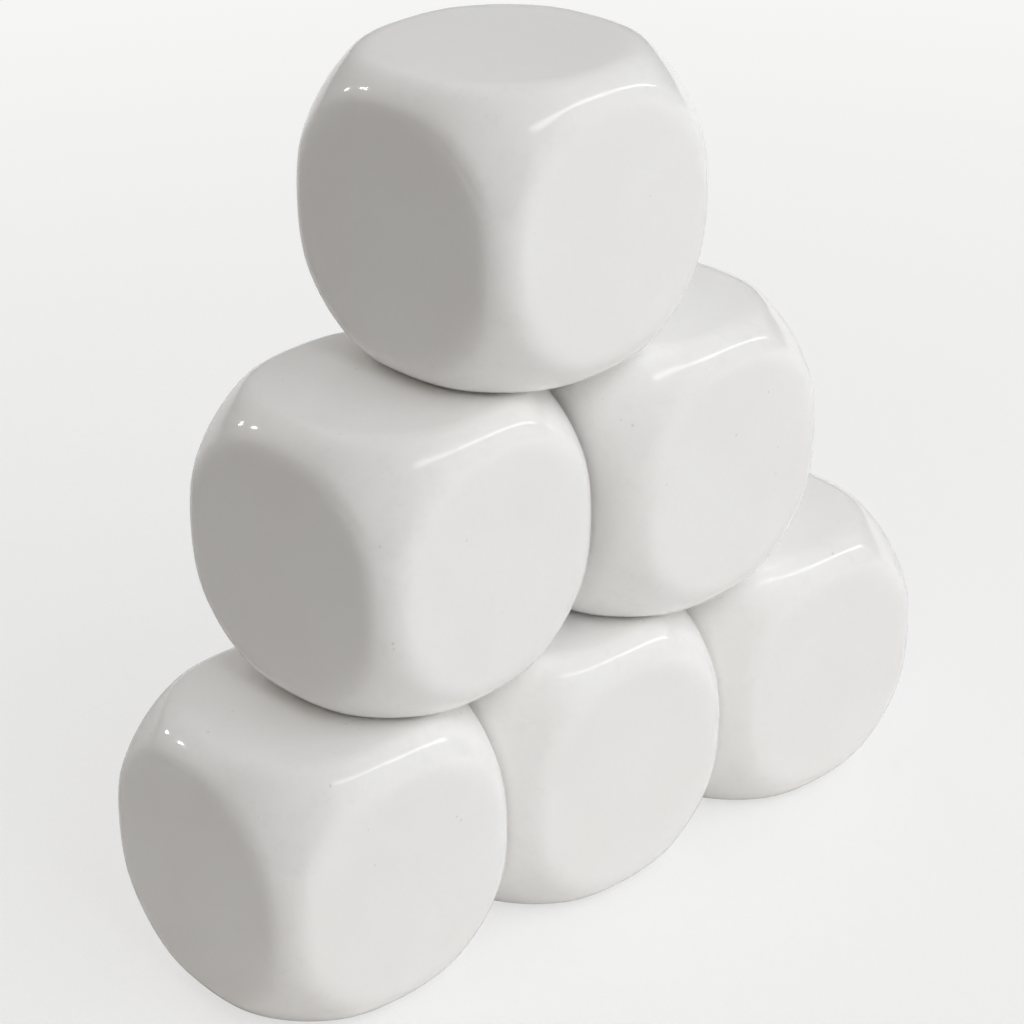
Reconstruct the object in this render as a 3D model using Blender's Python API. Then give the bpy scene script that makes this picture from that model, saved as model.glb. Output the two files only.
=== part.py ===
"""Set of six giant yard dice, stacked three, two, one against each other in
one upright wall.

Frame: metres, +X along the row of dice, +Y towards the back of the stack, +Z
up.  The origin is on the ground, under the centre of the bottom centre die.

Each die is one solid moulding: a cube whose twelve edges are rolled to a
large fillet and whose eight corners are rounded off by a ball that is
concentric with the cube.  The ball takes so much off each side that what is
left of it is a round, truly flat disc.
"""
import math

import bmesh
import bpy
from mathutils import Vector

# ---- driving dimensions (metres, radians) ---------------------------------
SIDE = 0.0889            # across flats, 3 1/2 inch
EDGE_RADIUS = 0.0096     # fillet along the twelve edges
BALL_RADIUS = 0.0594     # ball that rounds the eight corners
BLEND = 0.0030           # width of the soft change from fillet to ball
GAP = 0.0003             # clearance between a die and the one it rests on
ROUND_STEPS = 24         # points round the rim of a flat, a multiple of 8
RINGS = 4                # rings of faces from a flat's rim to the next side's

HALF = SIDE / 2
FLAT_RADIUS = math.sqrt((BALL_RADIUS - BLEND) ** 2 - HALF ** 2)
LEVEL = SIDE + GAP       # height from one layer of dice to the next

# name, layer, x and y of the centre (metres), turn about the vertical (degrees).
# The bottom dice stand flush.  The rest were set down by hand, so they sit a
# few millimetres and a few degrees out of line.
DICE = (
    ("bottom_centre_die", 0, 0.0000, 0.0000, 0.0),
    ("bottom_left_die", 0, -0.0893, 0.0008, 0.0),
    ("bottom_right_die", 0, 0.0893, -0.0008, 0.0),
    ("middle_left_die", 1, -0.0542, 0.0026, 4.9),
    ("middle_right_die", 1, 0.0372, -0.0010, 3.7),
    ("top_die", 2, -0.0113, 0.0010, 3.8),
)

PLASTIC_WHITE = (0.85, 0.84, 0.82, 1.0)
PLASTIC_ROUGHNESS = 0.16


def clear_scene():
    for obj in list(bpy.data.objects):
        bpy.data.objects.remove(obj, do_unlink=True)
    for block in (bpy.data.meshes, bpy.data.materials):
        for item in list(block):
            block.remove(item)


def outside(p):
    """Signed measure of the die's surface at p: below zero inside."""
    q = [abs(c) for c in p]
    e = [max(c - (HALF - EDGE_RADIUS), 0.0) for c in q]
    if sum(1 for c in e if c > 0.0) > 1:
        cube = math.sqrt(e[0] ** 2 + e[1] ** 2 + e[2] ** 2) - EDGE_RADIUS
    else:
        cube = max(q) - HALF
    ball = p.length - BALL_RADIUS
    step = max(BLEND - abs(cube - ball), 0.0)
    return max(cube, ball) + step * step / (4.0 * BLEND)


def on_surface(direction):
    """The point where a ray from the die's centre leaves the die."""
    d = direction.normalized()
    low, high = 0.5 * HALF, 2.0 * HALF
    for _ in range(48):
        mid = 0.5 * (low + high)
        if outside(d * mid) < 0.0:
            low = mid
        else:
            high = mid
    return d * (0.5 * (low + high))


def die_mesh(name):
    """One closed skin: a flat disc on each side and rings of faces round it
    that meet the next side's rings on the diagonal planes."""
    bm = bmesh.new()
    for axis in range(3):
        for sign in (1.0, -1.0):
            u, v = (axis + 1) % 3, (axis + 2) % 3

            def place(du, dv, dw):
                p = [0.0, 0.0, 0.0]
                p[u], p[v], p[axis] = du, dv, dw * sign
                return Vector(p)

            rings = []
            for ring in range(RINGS + 1):
                t = ring / RINGS
                row = []
                for k in range(ROUND_STEPS):
                    a = 2.0 * math.pi * (k + 0.5) / ROUND_STEPS
                    c, s = math.cos(a), math.sin(a)
                    rim = FLAT_RADIUS / HALF
                    border = 1.0 / max(abs(c), abs(s))
                    reach = rim + (border - rim) * t
                    d = place(reach * c, reach * s, 1.0)
                    row.append(bm.verts.new(
                        d * HALF if ring == 0 else on_surface(d)))
                rings.append(row)
            faces = [rings[0]]
            for inner, outer in zip(rings, rings[1:]):
                for k in range(ROUND_STEPS):
                    n = (k + 1) % ROUND_STEPS
                    faces.append([inner[k], outer[k], outer[n], inner[n]])
            # corner of the side: the ring's border there is one more point
            corner_faces = []
            for quarter in range(4):
                k = (ROUND_STEPS // 8) - 1 + quarter * (ROUND_STEPS // 4)
                n = (k + 1) % ROUND_STEPS
                a = math.pi / 4 + quarter * math.pi / 2
                tip = bm.verts.new(on_surface(place(
                    math.copysign(1.0, math.cos(a)),
                    math.copysign(1.0, math.sin(a)), 1.0)))
                corner_faces.append([rings[-1][k], tip, rings[-1][n]])
            for loop in faces + corner_faces:
                bm.faces.new(loop if sign > 0 else list(reversed(loop)))
    bmesh.ops.remove_doubles(bm, verts=bm.verts, dist=0.00002)
    bmesh.ops.recalc_face_normals(bm, faces=bm.faces)
    mesh = bpy.data.meshes.new(name)
    bm.to_mesh(mesh)
    bm.free()
    mesh.shade_smooth()
    mesh.set_sharp_from_angle(angle=math.radians(40))
    return mesh


def plastic(name):
    mat = bpy.data.materials.new(name + "_white_plastic")
    mat.use_nodes = True
    bsdf = mat.node_tree.nodes["Principled BSDF"]
    bsdf.inputs["Base Color"].default_value = PLASTIC_WHITE
    bsdf.inputs["Roughness"].default_value = PLASTIC_ROUGHNESS
    bsdf.inputs["Metallic"].default_value = 0.0
    return mat


def main():
    clear_scene()
    for name, layer, x, y, turn in DICE:
        mesh = die_mesh(name)
        mesh.materials.append(plastic(name))
        die = bpy.data.objects.new(name, mesh)
        die.location = (x, y, HALF + layer * LEVEL)
        die.rotation_euler = (0.0, 0.0, math.radians(turn))
        bpy.context.scene.collection.objects.link(die)


main()
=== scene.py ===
"""Looks of the six stacked giant yard dice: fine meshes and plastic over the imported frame."""
import math

import bpy
import numpy as np
from mathutils import Matrix, Vector


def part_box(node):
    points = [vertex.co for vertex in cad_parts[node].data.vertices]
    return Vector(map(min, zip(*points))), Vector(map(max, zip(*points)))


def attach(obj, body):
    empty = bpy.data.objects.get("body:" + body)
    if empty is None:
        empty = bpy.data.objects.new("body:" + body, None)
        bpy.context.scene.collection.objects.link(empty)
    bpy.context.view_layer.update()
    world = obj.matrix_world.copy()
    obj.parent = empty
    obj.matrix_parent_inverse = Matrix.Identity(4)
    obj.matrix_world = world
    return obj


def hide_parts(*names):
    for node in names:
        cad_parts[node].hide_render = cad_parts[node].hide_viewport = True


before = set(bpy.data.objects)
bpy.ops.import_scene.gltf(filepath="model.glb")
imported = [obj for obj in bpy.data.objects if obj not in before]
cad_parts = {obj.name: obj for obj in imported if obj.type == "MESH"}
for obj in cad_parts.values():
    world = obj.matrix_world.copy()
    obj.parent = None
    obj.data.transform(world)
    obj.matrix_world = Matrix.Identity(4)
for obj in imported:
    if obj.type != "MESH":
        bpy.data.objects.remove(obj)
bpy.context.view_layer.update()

# ---------------------------------------------------------------- the dice
HALF = 0.04445
EDGE_RADIUS = 0.0096
BALL_RADIUS = 0.0594
BLEND = 0.0030
GRID = 56


def outside(p):
    q = np.abs(p)
    e = np.maximum(q - (HALF - EDGE_RADIUS), 0.0)
    cube = np.where(
        (e > 0).sum(1) > 1,
        np.sqrt((e * e).sum(1)) - EDGE_RADIUS,
        q.max(1) - HALF,
    )
    ball = np.sqrt((p * p).sum(1)) - BALL_RADIUS
    step = np.maximum(BLEND - np.abs(cube - ball), 0.0)
    return np.maximum(cube, ball) + step * step / (4 * BLEND)


def on_surface(d):
    d = d / np.sqrt((d * d).sum(1))[:, None]
    low = np.full(len(d), 0.5 * HALF)
    high = np.full(len(d), 2.0 * HALF)
    for _ in range(50):
        mid = 0.5 * (low + high)
        inside = outside(d * mid[:, None]) < 0
        low = np.where(inside, mid, low)
        high = np.where(inside, high, mid)
    return d * (0.5 * (low + high))[:, None]


def die_grid():
    """Vertices and quads of the die, centred on the origin, from six square grids that share their borders."""
    index, points, quads = {}, [], []
    n = GRID
    ticks = [math.tan(math.pi / 4 * (2.0 * i / n - 1.0)) for i in range(n + 1)]
    ticks[0], ticks[n // 2], ticks[n] = -1.0, 0.0, 1.0
    for axis in range(3):
        for sign in (1, -1):
            u, v = (axis + 1) % 3, (axis + 2) % 3
            ids = np.zeros((n + 1, n + 1), int)
            for i in range(n + 1):
                for j in range(n + 1):
                    d = [0.0, 0.0, 0.0]
                    d[u], d[v], d[axis] = ticks[i], ticks[j], float(sign)
                    key = tuple(round(c * 1e7) for c in d)
                    if key not in index:
                        index[key] = len(points)
                        points.append(d)
                    ids[i, j] = index[key]
            for i in range(n):
                for j in range(n):
                    q = [ids[i, j], ids[i + 1, j], ids[i + 1, j + 1], ids[i, j + 1]]
                    quads.append(q if sign > 0 else q[::-1])
    return on_surface(np.array(points)), quads


def turn_of(node):
    """How far the die is turned about the vertical, from the CAD mesh's own upright flats."""
    s = c = 0.0
    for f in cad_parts[node].data.polygons:
        n = f.normal
        if abs(n.z) < 0.02:
            a = 4.0 * math.atan2(n.y, n.x)
            s += f.area * math.sin(a)
            c += f.area * math.cos(a)
    return math.atan2(s, c) / 4.0


POINTS, QUADS = die_grid()
DICE = ("bottom_centre", "bottom_left", "bottom_right", "middle_left", "middle_right", "top")


def make_die(body, material):
    part = body + "_die"
    low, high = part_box(part)
    centre = (low + high) / 2
    turn = turn_of(part)
    mesh = bpy.data.meshes.new(body + "_die_skin")
    mesh.from_pydata([tuple(p) for p in POINTS], [], QUADS)
    mesh.shade_smooth()
    mesh.materials.append(material)
    die = bpy.data.objects.new(body + "_die_moulding", mesh)
    bpy.context.scene.collection.objects.link(die)
    die.matrix_world = Matrix.Translation(centre) @ Matrix.Rotation(turn, 4, "Z")
    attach(die, body)
    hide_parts(part)
    return die


# ---------------------------------------------------------------- materials
def node(tree, kind, ins=None, **sets):
    """A new node.  ins holds its inputs, as a plain value or as a socket to link from."""
    n = tree.nodes.new(kind)
    for key, value in sets.items():
        setattr(n, key, value)
    for key, value in (ins or {}).items():
        if isinstance(value, bpy.types.NodeSocket):
            tree.links.new(value, n.inputs[key])
        else:
            n.inputs[key].default_value = value
    return n


def maths(tree, operation, a, b=0.0, clamp=False):
    return node(tree, "ShaderNodeMath", {0: a, 1: b}, operation=operation, use_clamp=clamp).outputs[0]


def ramp(tree, value, low, high, to_low=0.0, to_high=1.0, smooth=True):
    return node(
        tree,
        "ShaderNodeMapRange",
        {"Value": value, "From Min": low, "From Max": high, "To Min": to_low, "To Max": to_high},
        interpolation_type="SMOOTHSTEP" if smooth else "LINEAR",
    ).outputs[0]


def blend(tree, factor, a, b):
    """a where factor is 0, b where it is 1."""
    n = node(tree, "ShaderNodeMix", data_type="RGBA")
    pairs = (("Factor_Float", factor), ("A_Color", a), ("B_Color", b))
    for name, value in pairs:
        socket = next(s for s in n.inputs if s.identifier == name)
        if isinstance(value, bpy.types.NodeSocket):
            tree.links.new(value, socket)
        else:
            socket.default_value = value
    return next(s for s in n.outputs if s.identifier == "Result_Color")


def noise(tree, where, per_mm, detail=2.0, rough=0.5, distort=0.0):
    return node(
        tree,
        "ShaderNodeTexNoise",
        {"Vector": where, "Scale": per_mm, "Detail": detail, "Roughness": rough, "Distortion": distort},
    ).outputs[0]


def hairlines(tree, where, turn, per_mm):
    """Thin, long, sparse scratches: one level line of a strongly stretched noise, broken up by a second noise."""
    drawn = node(
        tree,
        "ShaderNodeMapping",
        {"Vector": where, "Rotation": turn, "Scale": (0.06 * per_mm, per_mm, per_mm)},
    ).outputs[0]
    level = maths(tree, "ABSOLUTE", maths(tree, "SUBTRACT", noise(tree, drawn, 1.0, 0.0), 0.52))
    line = ramp(tree, level, 0.0, 0.006, 1.0, 0.0)
    broken = ramp(tree, noise(tree, where, 0.09, 0.0), 0.55, 0.66)
    return maths(tree, "MULTIPLY", line, broken)


def white_plastic():
    """Glossy white moulded plastic.  Coordinates are the die's own, in millimetres from its centre; each die
    reads the patterns at its own place."""
    mat = bpy.data.materials.new("white_plastic")
    mat.use_nodes = True
    t = mat.node_tree
    t.nodes.clear()
    out = node(t, "ShaderNodeOutputMaterial")
    local = node(t, "ShaderNodeTexCoord").outputs["Object"]
    mm = node(t, "ShaderNodeVectorMath", {0: local, 1: (1000.0, 1000.0, 1000.0)}, operation="MULTIPLY").outputs[0]
    own = node(t, "ShaderNodeObjectInfo").outputs["Random"]
    away = node(t, "ShaderNodeCombineXYZ", {0: maths(t, "MULTIPLY", own, 7300.0),
                                            1: maths(t, "MULTIPLY", own, 4100.0),
                                            2: maths(t, "MULTIPLY", own, 9700.0)}).outputs[0]
    here = node(t, "ShaderNodeVectorMath", {0: mm, 1: away}, operation="ADD").outputs[0]

    # how near the surface point is to a rolled edge or corner: 0 on the flats, 1 on the edges
    reach = node(t, "ShaderNodeVectorMath", {0: mm}, operation="LENGTH").outputs["Value"]
    edge = ramp(t, reach, 56.2, 59.0)

    # colour: cloudy pigment, fine mottle, rubbed edges, a few embedded specks
    cloud = ramp(t, noise(t, here, 0.028, 1.0), 0.32, 0.68)
    colour = blend(t, cloud, PLASTIC_COOL, PLASTIC_WARM)
    mottle = ramp(t, noise(t, here, 0.55, 2.0, 0.6), 0.35, 0.65, smooth=False)
    colour = blend(t, maths(t, "MULTIPLY", mottle, 0.16), colour, PLASTIC_SHADE)
    patch = ramp(t, noise(t, here, 0.16, 3.0, 0.72), 0.50, 0.66)
    rub = maths(t, "MULTIPLY", patch, maths(t, "ADD", maths(t, "MULTIPLY", edge, 0.75), 0.12))
    colour = blend(t, maths(t, "MULTIPLY", rub, 0.15), colour, RUBBED)
    cells = node(t, "ShaderNodeTexVoronoi", {"Vector": here, "Scale": 0.15}, feature="F1")
    pick = node(t, "ShaderNodeSeparateXYZ", {0: cells.outputs["Color"]})
    size = ramp(t, pick.outputs[1], 0.0, 1.0, 0.030, 0.110, smooth=False)
    near = ramp(t, maths(t, "DIVIDE", cells.outputs["Distance"], size), 0.25, 1.0, 1.0, 0.0)
    speck = maths(t, "MULTIPLY", near, maths(t, "GREATER_THAN", pick.outputs[0], 0.52))
    colour = blend(t, maths(t, "MULTIPLY", speck, 0.25), colour, SPECK)

    # gloss: polished, with handling smears, rubbed edges and hairline scratches
    smear = ramp(t, noise(t, here, 0.045, 2.0, 0.6), 0.42, 0.66)
    hair_a = hairlines(t, here, (0.4, 0.9, 0.5), 0.11)
    hair_b = hairlines(t, here, (1.3, -0.5, 2.2), 0.14)
    hair = maths(t, "MAXIMUM", hair_a, hair_b)
    rough = maths(t, "ADD", GLOSS, maths(t, "MULTIPLY", smear, 0.022))
    rough = maths(t, "ADD", rough, maths(t, "MULTIPLY", rub, 0.05))
    rough = maths(t, "ADD", rough, maths(t, "MULTIPLY", hair, 0.14))
    rough = maths(t, "ADD", rough, maths(t, "MULTIPLY", speck, 0.15))

    # relief, in hundredths of a millimetre: orange peel and slow waviness of the moulding
    relief = maths(t, "MULTIPLY", noise(t, here, 0.30, 1.0), 0.8)
    relief = maths(t, "ADD", relief, maths(t, "MULTIPLY", noise(t, here, 0.075, 0.0), 3.0))
    bump = node(t, "ShaderNodeBump", {"Strength": 1.0, "Distance": 0.00001, "Height": relief}).outputs[0]

    skin = node(t, "ShaderNodeBsdfPrincipled", {
        "Base Color": colour,
        "Roughness": rough,
        "IOR": 1.49,
        "Normal": bump,
        "Subsurface Weight": 0.6,
        "Subsurface Radius": (1.0, 0.97, 0.93),
        "Subsurface Scale": 0.005,
    })
    # what the floor and the other dice see of it needs neither the fine detail nor the light inside the plastic
    plain = node(t, "ShaderNodeBsdfDiffuse", {"Color": PLASTIC_MEAN})
    seen = node(t, "ShaderNodeLightPath").outputs["Is Camera Ray"]
    mixed = node(t, "ShaderNodeMixShader", {0: seen, 1: plain.outputs[0], 2: skin.outputs[0]})
    t.links.new(mixed.outputs[0], out.inputs[0])
    return mat


PLASTIC_COOL = (0.912, 0.905, 0.895, 1.0)
PLASTIC_WARM = (0.900, 0.886, 0.868, 1.0)
PLASTIC_MEAN = (0.966, 0.956, 0.942, 1.0)
PLASTIC_SHADE = (0.860, 0.848, 0.830, 1.0)
RUBBED = (0.760, 0.742, 0.712, 1.0)
SPECK = (0.300, 0.265, 0.230, 1.0)
GLOSS = 0.075

plastic = white_plastic()
for body in DICE:
    make_die(body, plastic)

# ---------------------------------------------------------------- stage
PALE = (0.925, 0.923, 0.918, 1.0)


def floor_paint():
    """Matt white studio floor.  What it throws back at the dice is a table-sized painted pool of light in its bounce
    colour, brightest on their right and in front of them and darker further off; to the camera, and in reflections,
    it runs on evenly into the backdrop."""
    mat = bpy.data.materials.new("floor_paint")
    mat.use_nodes = True
    t = mat.node_tree
    t.nodes.clear()
    out = node(t, "ShaderNodeOutputMaterial")
    place = node(t, "ShaderNodeTexCoord").outputs["Object"]
    away = node(t, "ShaderNodeVectorMath", {0: place}, operation="LENGTH").outputs["Value"]
    path = node(t, "ShaderNodeLightPath").outputs
    seen = maths(t, "MAXIMUM", path["Is Camera Ray"], path["Is Glossy Ray"])
    # painted pool of light: the colour the dice get back from the floor is lighter near their right front and darker
    # further away
    off = node(t, "ShaderNodeVectorMath", {0: place, 1: (0.30, -0.12, 0.0)}, operation="SUBTRACT").outputs[0]
    off = node(t, "ShaderNodeVectorMath", {0: off}, operation="LENGTH").outputs["Value"]
    painted_light_pool = ramp(t, off, 0.42, 1.20, 0.88, 0.31)
    bounce = node(t, "ShaderNodeBsdfDiffuse", {
        "Color": node(t, "ShaderNodeCombineColor", {
            0: painted_light_pool,
            1: maths(t, "MULTIPLY", painted_light_pool, 0.985),
            2: maths(t, "MULTIPLY", painted_light_pool, 0.962),
        }).outputs[0],
    })
    tone = ramp(t, noise(t, place, 2.5, 2.0), 0.3, 0.7, 0.885, 0.905)
    grain = node(t, "ShaderNodeBump", {
        "Strength": 0.5,
        "Distance": 0.0002,
        "Height": noise(t, place, 900.0, 1.0),
    }).outputs[0]
    matt = node(t, "ShaderNodeBsdfPrincipled", {
        "Base Color": node(t, "ShaderNodeCombineColor", {0: tone, 1: tone, 2: tone}).outputs[0],
        "Roughness": 0.75,
        "Specular IOR Level": 0.25,
        "Normal": grain,
    })
    glow = node(t, "ShaderNodeEmission", {"Color": PALE, "Strength": 1.0})
    lifted = node(t, "ShaderNodeMixShader", {
        0: ramp(t, away, 0.2, 1.1, maths(t, "MULTIPLY", path["Is Camera Ray"], FLOOR_LIFT), 1.0),
        1: matt.outputs[0],
        2: glow.outputs[0],
    })
    mixed = node(t, "ShaderNodeMixShader", {0: seen, 1: bounce.outputs[0], 2: lifted.outputs[0]})
    t.links.new(mixed.outputs[0], out.inputs[0])
    return mat


FLOOR_LIFT = 0.68
floor_mesh = bpy.data.meshes.new("studio_floor")
floor_mesh.from_pydata([(-6, -6, 0), (6, -6, 0), (6, 6, 0), (-6, 6, 0)], [], [(0, 1, 2, 3)])
floor = bpy.data.objects.new("studio_floor", floor_mesh)
floor.location = (0, 0, -0.0005)
bpy.context.scene.collection.objects.link(floor)
floor_mesh.materials.append(floor_paint())

# ---------------------------------------------------------------- light
scene = bpy.context.scene


def toward(azimuth, elevation):
    """Unit vector; azimuth 0 is -Y (the front of the row), 90 is +X."""
    a, e = math.radians(azimuth), math.radians(elevation)
    return Vector((math.sin(a) * math.cos(e), -math.cos(a) * math.cos(e), math.sin(e)))


def studio_room(glows, gloss_glows):
    """Dark room with soft bright sides: each glow is (azimuth, elevation, strength, tightness, colour).  The
    gloss glows are windows far enough off to be seen only as reflections."""
    world = bpy.data.worlds.new("studio")
    scene.world = world
    world.use_nodes = True
    world.cycles.sampling_method = "NONE"  # smooth enough not to need a map of its own
    t = world.node_tree
    t.nodes.clear()
    out = node(t, "ShaderNodeOutputWorld")
    ray = node(t, "ShaderNodeTexCoord").outputs["Generated"]
    path = node(t, "ShaderNodeLightPath").outputs
    total = None
    for only_gloss, table in ((False, glows), (True, gloss_glows)):
        for azimuth, elevation, strength, tightness, colour in table:
            facing = node(t, "ShaderNodeVectorMath", {0: ray, 1: toward(azimuth, elevation)}, operation="DOT_PRODUCT")
            lobe = maths(t, "POWER", facing.outputs["Value"], tightness, clamp=True)
            lobe = maths(t, "MULTIPLY", lobe, strength)
            if only_gloss:
                lobe = maths(t, "MULTIPLY", lobe, path["Is Glossy Ray"])
            tinted = node(t, "ShaderNodeVectorMath", {0: colour, "Scale": lobe}, operation="SCALE").outputs[0]
            if total is None:
                total = tinted
            else:
                total = node(t, "ShaderNodeVectorMath", {0: total, 1: tinted}, operation="ADD").outputs[0]
    room = node(t, "ShaderNodeBackground", {"Color": total, "Strength": 1.0})
    backdrop = node(t, "ShaderNodeBackground", {"Color": PALE, "Strength": 1.0})
    mixed = node(t, "ShaderNodeMixShader", {0: path["Is Camera Ray"], 1: room.outputs[0], 2: backdrop.outputs[0]})
    t.links.new(mixed.outputs[0], out.inputs[0])


def soft_box(name, place, aim, wide, high, radiance, colour=(1, 1, 1), diffuse=True, gloss=False, round_=False):
    data = bpy.data.lights.new(name, "AREA")
    data.shape = "ELLIPSE" if round_ else "RECTANGLE"
    data.size, data.size_y = wide, high
    data.energy = radiance * math.pi * wide * high * (math.pi / 4 if round_ else 1.0)
    data.color = colour
    lamp = bpy.data.objects.new(name, data)
    lamp.location = place
    lamp.rotation_euler = (Vector(aim) - Vector(place)).to_track_quat("-Z", "Y").to_euler()
    lamp.visible_camera = False
    lamp.visible_diffuse = diffuse
    lamp.visible_glossy = gloss
    scene.collection.objects.link(lamp)
    return lamp


HEART = Vector((0, 0, 0.13))

# LIGHTS-BEGIN
COOL, WARM, PLAIN = (0.955, 0.997, 1.03), (1.0, 0.955, 0.92), (1.0, 1.0, 1.0)
studio_room(
    glows=(
        (0, 25, 0.36, 3.0, (1.05, 0.99, 0.98)),
        (0, 90, 0.13, 3.0, PLAIN),
        (0, 90, 0.030, 0.0, (1.15, 1.0, 0.85)),
        (180, 25, 0.55, 3.0, PLAIN),
        (280, 40, 0.095, 3.0, (1.12, 1.0, 0.82)),
    ),
    gloss_glows=(
        (218, 26, 1.50, 7.0, (1.02, 1.0, 0.96)),
        (140, 20, 0.15, 3.0, PLAIN),
    ),
)
for name, azimuth, elevation, weight, colour in (
    ("key_high_front", 0, 45, 0.330, COOL),
    ("key_low_front", 0, 12, 0.058, COOL),
    ("fill_right_front", 45, 45, 0.170, COOL),
    ("fill_right_low", 90, 12, 0.140, PLAIN),
    ("fill_right_high", 90, 45, 0.045, PLAIN),
    ("fill_left_front", 315, 45, 0.040, WARM),
    ("fill_back_low", 175, 15, 0.200, PLAIN),
):
    soft_box(name, HEART + toward(azimuth, elevation) * 2.0, HEART, 1.2, 1.2, weight * 40 / (math.pi * 1.44), colour)
soft_box("window_wall", (2.1, -2.2, 1.45), (2.1, 0, 1.45), 5.75, 2.8, 0.16, PLAIN, gloss=True)
# the bright rail along the window's head, seen as the line along the upper front edges
soft_box("window_rail_near", (0.48, -1.72, 2.59), (0.48, 0, 0.15), 2.04, 0.20, 3.7, PLAIN, diffuse=False, gloss=True)
soft_box("window_rail_far", (4.75, -1.72, 2.59), (4.75, 0, 0.15), 6.5, 0.38, 4.0, PLAIN, diffuse=False, gloss=True)
# two ceiling lamps behind the stack, seen as the dots on the left corners
for name, way in (("ceiling_lamp_a", (-0.27, 0.91, 0.30)), ("ceiling_lamp_b", (-0.42, 0.78, 0.46))):
    spot = HEART + Vector(way).normalized() * 5.0
    soft_box(name, spot, HEART, 0.34, 0.34, 26.0, (1.0, 0.99, 0.96), diffuse=False, gloss=True, round_=True)
# LIGHTS-END

# ---------------------------------------------------------------- camera
# Seen along the row from its front left, a little above the top die.
eye = Vector((-0.5008173, -0.5482936, 0.4979585))
right = Vector((0.7561574, -0.6541788, -0.0166167))
down = Vector((-0.3288707, -0.3579396, -0.8739125))
ahead = Vector((0.5657473, 0.6662803, -0.4857989))
cam_data = bpy.data.cameras.new("camera")
cam_data.sensor_width = 36.0
cam_data.lens = 2733.05 * 36.0 / 1024
cam_data.shift_x = (511.5 - 447.42) / 1024
cam_data.shift_y = (607.06 - 511.5) / 1024
cam_data.clip_start = 0.02
cam_data.clip_end = 50.0
cam = bpy.data.objects.new("camera", cam_data)
cam.matrix_world = Matrix(
    (
        (right.x, -down.x, -ahead.x, eye.x),
        (right.y, -down.y, -ahead.y, eye.y),
        (right.z, -down.z, -ahead.z, eye.z),
        (0, 0, 0, 1),
    )
)
scene.collection.objects.link(cam)
scene.camera = cam
scene.view_settings.view_transform = "Standard"
